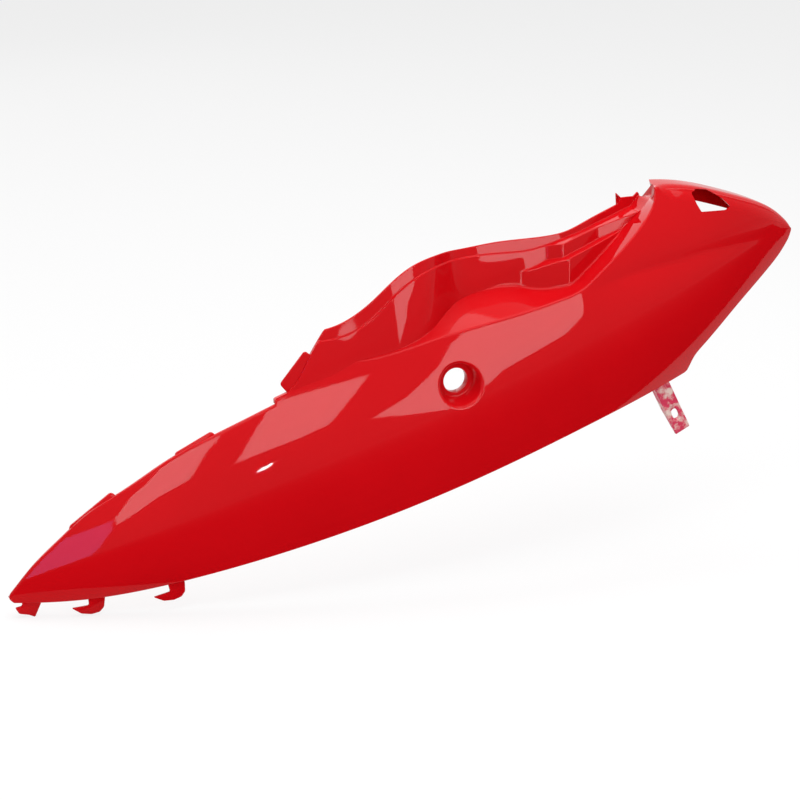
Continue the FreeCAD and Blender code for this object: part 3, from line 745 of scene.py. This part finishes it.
def glossy_paint(name, colour, deep_colour, coat_ior):
    """Automotive enamel sprayed on moulded ABS: an opaque red under clear coat, wet-looking and nearly flat.

    The red drifts a little over 11 cm (9 waves to the metre), as a sprayed film's thickness does. The clear
    coat's orange peel has waves of 4 mm (260 to the metre), coarser than the real 1 to 2 mm so that it shows.
    The coat's index is below a real one's 1.5, since a white surround would wash the red out.
    """
    material, tree, paint = new_look(name)
    place = tree.nodes.new("ShaderNodeTexCoord").outputs["Object"]
    drift = node(tree, "ShaderNodeTexNoise", [("Vector", place)], scale=9.0, detail=2.0)
    peel = node(tree, "ShaderNodeTexNoise", [("Vector", place)], scale=260.0, detail=1.5)
    bump = node(tree, "ShaderNodeBump", [("Height", peel.outputs["Fac"])], strength=0.05, distance=0.0002)
    tree.links.new(two_colours(tree, drift.outputs["Fac"], deep_colour, colour), paint.inputs["Base Color"])
    tree.links.new(bump.outputs["Normal"], paint.inputs["Coat Normal"])
    paint.inputs["Roughness"].default_value = 0.45
    paint.inputs["Specular IOR Level"].default_value = 0.0
    paint.inputs["Coat Weight"].default_value = 1.0
    paint.inputs["Coat Roughness"].default_value = 0.035
    paint.inputs["Coat IOR"].default_value = coat_ior
    return material


def overspray(name, paint_colour, bare_colour):
    """Moulded ABS that the red only reached as overspray: satin, in patches of both with soft grainy borders.

    The patches are 12 mm across (85 waves to the metre), and finer octaves down to 0.4 mm give the grain.
    """
    material, tree, plastic = new_look(name)
    place = tree.nodes.new("ShaderNodeTexCoord").outputs["Object"]
    patches = node(tree, "ShaderNodeTexNoise", [("Vector", place)], scale=85.0, detail=5.0, roughness=0.62)
    border = node(tree, "ShaderNodeMapRange", [("Value", patches.outputs["Fac"])], from_min=0.46,
                  from_max=0.60)
    tree.links.new(two_colours(tree, border.outputs["Result"], paint_colour, bare_colour),
                   plastic.inputs["Base Color"])
    plastic.inputs["Roughness"].default_value = 0.42
    return material


def facing(name, data, place, right, up, back):
    """New object at a place, with its own X, Y and Z along right, up and back."""
    made = bpy.data.objects.new(name, data)
    made.matrix_world = Matrix([[right[i], up[i], back[i], place[i]] for i in range(3)] + [[0, 0, 0, 1]])
    bpy.context.scene.collection.objects.link(made)
    return made


def soft_box(name, place, target, width, height, strength):
    """Area lamp that looks at a target, in metres."""
    lamp = bpy.data.lights.new(name, "AREA")
    lamp.shape, lamp.size, lamp.size_y, lamp.energy = "RECTANGLE", width, height, strength
    back = unit(np.subtract(place, target))
    side = unit(np.cross((0.0, 0.0, 1.0), back))
    facing(name, lamp, place, side, np.cross(back, side), back)


def sheet(name, points, look, unseen=()):
    """Flat sheet of the stage through points in metres, left out for the kinds of ray named in unseen."""
    mesh = bpy.data.meshes.new(name)
    mesh.from_pydata(points, [], [list(range(len(points)))])
    mesh.update()
    mesh.materials.append(look)
    made = bpy.data.objects.new(name, mesh)
    for ray in unseen:
        setattr(made, "visible_" + ray, False)
    bpy.context.scene.collection.objects.link(made)
    return mesh


def soft_card(name, place, outline, colour, strength):
    """Glowing card that faces the panel, of an outline to its right and up in metres, unseen by the camera.

    Gloss mirrors it at full strength, and matt surfaces get MATT_SHARE of it, so that they stay plainly lit.
    """
    look, tree, _ = new_look(name)
    tree.nodes.clear()
    sides = tree.nodes.new("ShaderNodeNewGeometry")
    rays = tree.nodes.new("ShaderNodeLightPath")
    share = node(tree, "ShaderNodeMapRange", [("Value", rays.outputs["Is Glossy Ray"])],
                 to_min=strength * MATT_SHARE, to_max=strength)
    front = node(tree, "ShaderNodeMath", [(0, sides.outputs["Backfacing"])], operation="MULTIPLY_ADD")
    front.inputs[1].default_value, front.inputs[2].default_value = -1.0, 1.0
    power = node(tree, "ShaderNodeMath", [(0, share.outputs["Result"]), (1, front.outputs[0])],
                 operation="MULTIPLY")
    glow = node(tree, "ShaderNodeEmission", [("Strength", power.outputs[0])], color=(*colour, 1.0))
    node(tree, "ShaderNodeOutputMaterial", [("Surface", glow.outputs[0])])
    away = unit(place)
    side = unit(np.cross((0.0, 0.0, 1.0), away))
    points = place + np.asarray(outline, float) @ np.array([side, np.cross(away, side)])
    mesh = sheet(name, points.tolist(), look, ("camera", "shadow"))
    if np.dot(mesh.polygons[0].normal, away) > 0:
        mesh.flip_normals()


def dark_card(low_z):
    """Black card on the floor before the panel that only gloss mirrors; it fades out away from the panel."""
    look, tree, shade = new_look("dark_card")
    shade.inputs["Base Color"].default_value = (0.0, 0.0, 0.0, 1.0)
    shade.inputs["Specular IOR Level"].default_value = 0.0
    clear = tree.nodes.new("ShaderNodeBsdfTransparent")
    place = tree.nodes.new("ShaderNodeTexCoord")
    parts = node(tree, "ShaderNodeSeparateXYZ", [("Vector", place.outputs["Object"])])
    fade = node(tree, "ShaderNodeMapRange", [("Value", parts.outputs["Y"])], from_min=-2.2, from_max=-0.25)
    mix = node(tree, "ShaderNodeMixShader", [(0, fade.outputs["Result"]), (1, clear.outputs[0]),
                                             (2, shade.outputs[0])])
    tree.links.new(mix.outputs[0], tree.nodes["Material Output"].inputs["Surface"])
    z = low_z + 0.001
    sheet("dark_card", [(-1.6, -2.2, z), (2.0, -2.2, z), (2.0, 0.02, z), (-1.6, 0.02, z)], look,
          ("camera", "shadow", "diffuse"))


def seen_white(tree, seen, lit, whiteness):
    """Mix of what camera, glossy and transmission rays see, by its whiteness, and what lights the rest."""
    rays = tree.nodes.new("ShaderNodeLightPath").outputs
    either = node(tree, "ShaderNodeMath", [(0, rays["Is Camera Ray"]), (1, rays["Is Glossy Ray"])],
                  operation="MAXIMUM")
    any_ray = node(tree, "ShaderNodeMath", [(0, either.outputs[0]), (1, rays["Is Transmission Ray"])],
                   operation="MAXIMUM")
    share = node(tree, "ShaderNodeMath", [(0, any_ray.outputs[0])], operation="MULTIPLY")
    share.inputs[1].default_value = whiteness
    return node(tree, "ShaderNodeMixShader",
                [(0, share.outputs[0]), (1, lit.outputs[0]), (2, seen.outputs[0])])


def stage(low_z):
    """Pale floor under the panel's lowest point, white background, lamps, cards and the photo's camera."""
    scene = bpy.context.scene
    scene.world = bpy.data.worlds.new("pale_studio")
    scene.world.use_nodes = True
    tree = scene.world.node_tree
    tree.nodes.clear()
    seen = node(tree, "ShaderNodeBackground", color=(1, 1, 1, 1), strength=1.0)
    lit = node(tree, "ShaderNodeBackground", color=(1, 1, 1, 1), strength=WORLD_LIGHT)
    node(tree, "ShaderNodeOutputWorld", [("Surface", seen_white(tree, seen, lit, 1.0).outputs[0])])

    look, tree, _ = new_look("pale_floor")
    tree.nodes.clear()
    white = node(tree, "ShaderNodeEmission", color=(1, 1, 1, 1), strength=1.0)
    matt = node(tree, "ShaderNodeBsdfDiffuse", color=(0.8, 0.8, 0.8, 1))
    node(tree, "ShaderNodeOutputMaterial", [("Surface", seen_white(tree, white, matt, 0.8).outputs[0])])
    far = 30.0
    sheet("studio_floor", [(-far, -far, low_z), (far, -far, low_z), (far, far, low_z), (-far, far, low_z)],
          look)
    dark_card(low_z)

    soft_box("ceiling_box", (0.0, -0.1, 2.3), (0, 0, 0), 3.2, 2.8, 90)
    soft_box("side_box", (-1.6, -1.2, 1.7), (0, 0, 0), 0.7, 0.7, 7)
    for name, place, colour, strength, outline in CARDS:
        soft_card(name, np.array(place) - LOCK_AT * MM, outline, colour, strength)

    turn, tilt = CAMERA_TURN, CAMERA_TILT
    back = np.array([math.sin(turn) * math.cos(tilt), -math.cos(turn) * math.cos(tilt), math.sin(tilt)])
    right = np.array([math.cos(turn), math.sin(turn), 0.0])
    up = np.cross(back, right)
    aim = CAMERA_AIM[0] * right + CAMERA_AIM[1] * up - LOCK_AT * MM
    lens = bpy.data.cameras.new("camera")
    lens.lens = CAMERA_LENS
    scene.camera = facing("camera", lens, aim + back * CAMERA_DISTANCE, right, up, back)
    scene.view_settings.view_transform = "Standard"


class FairingSizes(bpy.types.PropertyGroup):
    """Sizes of the panel that a maker would change."""
    wall: bpy.props.FloatProperty(name="Wall", description="Wall thickness of the moulding", default=0.0025,
                                  unit="LENGTH")
    edge_radius: bpy.props.FloatProperty(name="Edge radius", description="Rounding of the skin's outer edges",
                                         default=0.0018, unit="LENGTH")
    tail_roll: bpy.props.FloatProperty(name="Tail roll", description="Rounding over the top of the tail",
                                       default=0.014, unit="LENGTH")
    tail_face: bpy.props.FloatProperty(name="Tail face", description="Depth of the tail's flat inner face",
                                       default=0.066, unit="LENGTH")
    tail_return: bpy.props.FloatProperty(name="Tail return", description="Height of the return at that face",
                                         default=0.017, unit="LENGTH")
    flange: bpy.props.FloatProperty(name="Flange", description="Depth of the flange along the lower edge",
                                    default=0.009, unit="LENGTH")
    shelf_fillet: bpy.props.FloatProperty(name="Shelf fillet", description="Radius between shelf and wall",
                                          default=0.003, unit="LENGTH")
    lock_bore: bpy.props.FloatProperty(name="Lock bore", description="Diameter of the bore for the lock",
                                       default=0.024, unit="LENGTH")
    lock_collar: bpy.props.FloatProperty(name="Lock collar", description="Length of the bore", default=0.0085,
                                         unit="LENGTH")
    lock_floor: bpy.props.FloatProperty(name="Lock floor", description="Diameter of the recess's floor",
                                        default=0.033, unit="LENGTH")
    lock_round: bpy.props.FloatProperty(name="Lock rounding", description="Rounding of the recess's mouth",
                                        default=0.0026, unit="LENGTH")
    hook_thickness: bpy.props.FloatProperty(name="Hook thickness", description="Thickness of the flat hooks",
                                            default=0.0026, unit="LENGTH")
    tab_thickness: bpy.props.FloatProperty(name="Tab thickness", description="Thickness of the edge tabs",
                                           default=0.002, unit="LENGTH")
    strap_width: bpy.props.FloatProperty(name="Strap width", description="Width of the bracket strap",
                                         default=0.017, unit="LENGTH")
    strap_length: bpy.props.FloatProperty(name="Strap length", description="Strap's length below the edge",
                                          default=0.059, unit="LENGTH")


class FairingFinish(bpy.types.PropertyGroup):
    """Colours of the panel's finish."""
    paint: bpy.props.StringProperty(name="Paint", description="Red of the paint, as an sRGB hex",
                                    default="C20A12")
    paint_deep: bpy.props.StringProperty(name="Deep paint", description="Its darker drift, as an sRGB hex",
                                         default="B6080F")
    spray: bpy.props.StringProperty(name="Overspray", description="Thin red on bare plastic, as an sRGB hex",
                                    default="C8254B")
    bare: bpy.props.StringProperty(name="Bare plastic", description="Plastic under it, as an sRGB hex",
                                   default="D9BDB2")
    coat_ior: bpy.props.FloatProperty(name="Coat index", description="Refractive index of the clear coat",
                                      default=1.18)


def finish_named(name):
    """The finish of that name, made when a piece first asks for it."""
    look = bpy.context.scene.fairing_finish
    if name in bpy.data.materials:
        return bpy.data.materials[name]
    if name == "red_gloss_paint":
        return glossy_paint(name, look.paint, look.paint_deep, look.coat_ior)
    return overspray(name, look.spray, look.bare)


def place_piece(piece):
    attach(piece, "root")


class FAIRING_OT_shell(bpy.types.Operator):
    """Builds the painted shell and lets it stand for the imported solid"""
    bl_idname = "fairing.shell"
    bl_label = "Shell"

    def execute(self, context):
        shell = fairing_shell(context.scene.fairing_sizes, finish_named("red_gloss_paint"))
        place_piece(shell)
        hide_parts("side_panel")
        return {"FINISHED"}


class FAIRING_OT_hooks(bpy.types.Operator):
    """Builds the hooks under the lower edge"""
    bl_idname = "fairing.hooks"
    bl_label = "Hooks"

    def execute(self, context):
        place_piece(lower_hooks(context.scene.fairing_sizes, finish_named("red_gloss_paint")))
        return {"FINISHED"}


class FAIRING_OT_tabs(bpy.types.Operator):
    """Builds the tabs behind the upper edges"""
    bl_idname = "fairing.tabs"
    bl_label = "Tabs"

    def execute(self, context):
        place_piece(edge_tabs(context.scene.fairing_sizes, finish_named("red_gloss_paint")))
        return {"FINISHED"}


class FAIRING_OT_strap(bpy.types.Operator):
    """Builds the bracket strap"""
    bl_idname = "fairing.strap"
    bl_label = "Strap"

    def execute(self, context):
        place_piece(bracket_strap(context.scene.fairing_sizes, finish_named("red_overspray")))
        return {"FINISHED"}


class FAIRING_OT_stage(bpy.types.Operator):
    """Builds the floor, the background, the lamps and the camera"""
    bl_idname = "fairing.stage"
    bl_label = "Stage"

    def execute(self, context):
        stage(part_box("side_panel")[0][2])
        return {"FINISHED"}


class FAIRING_PT_panel(bpy.types.Panel):
    """Sizes, colours and operators of the fairing"""
    bl_idname = "FAIRING_PT_panel"
    bl_label = "Side fairing"
    bl_space_type = "VIEW_3D"
    bl_region_type = "UI"
    bl_category = "Fairing"

    def draw(self, context):
        for group in (context.scene.fairing_sizes, context.scene.fairing_finish):
            for name in group.bl_rna.properties.keys():
                if name not in ("rna_type", "name"):
                    self.layout.prop(group, name)
        for operator in OPERATORS:
            self.layout.operator(operator.bl_idname)


OPERATORS = (FAIRING_OT_shell, FAIRING_OT_hooks, FAIRING_OT_tabs, FAIRING_OT_strap, FAIRING_OT_stage)


def register():
    for each in (FairingSizes, FairingFinish, *OPERATORS, FAIRING_PT_panel):
        bpy.utils.register_class(each)
    bpy.types.Scene.fairing_sizes = bpy.props.PointerProperty(type=FairingSizes)
    bpy.types.Scene.fairing_finish = bpy.props.PointerProperty(type=FairingFinish)


def unregister():
    del bpy.types.Scene.fairing_sizes
    del bpy.types.Scene.fairing_finish
    for each in reversed((FairingSizes, FairingFinish, *OPERATORS, FAIRING_PT_panel)):
        bpy.utils.unregister_class(each)


def main():
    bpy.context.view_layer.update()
    register()
    bpy.ops.fairing.shell()
    bpy.ops.fairing.hooks()
    bpy.ops.fairing.tabs()
    bpy.ops.fairing.strap()
    bpy.ops.fairing.stage()


if __name__ == "__main__":
    main()
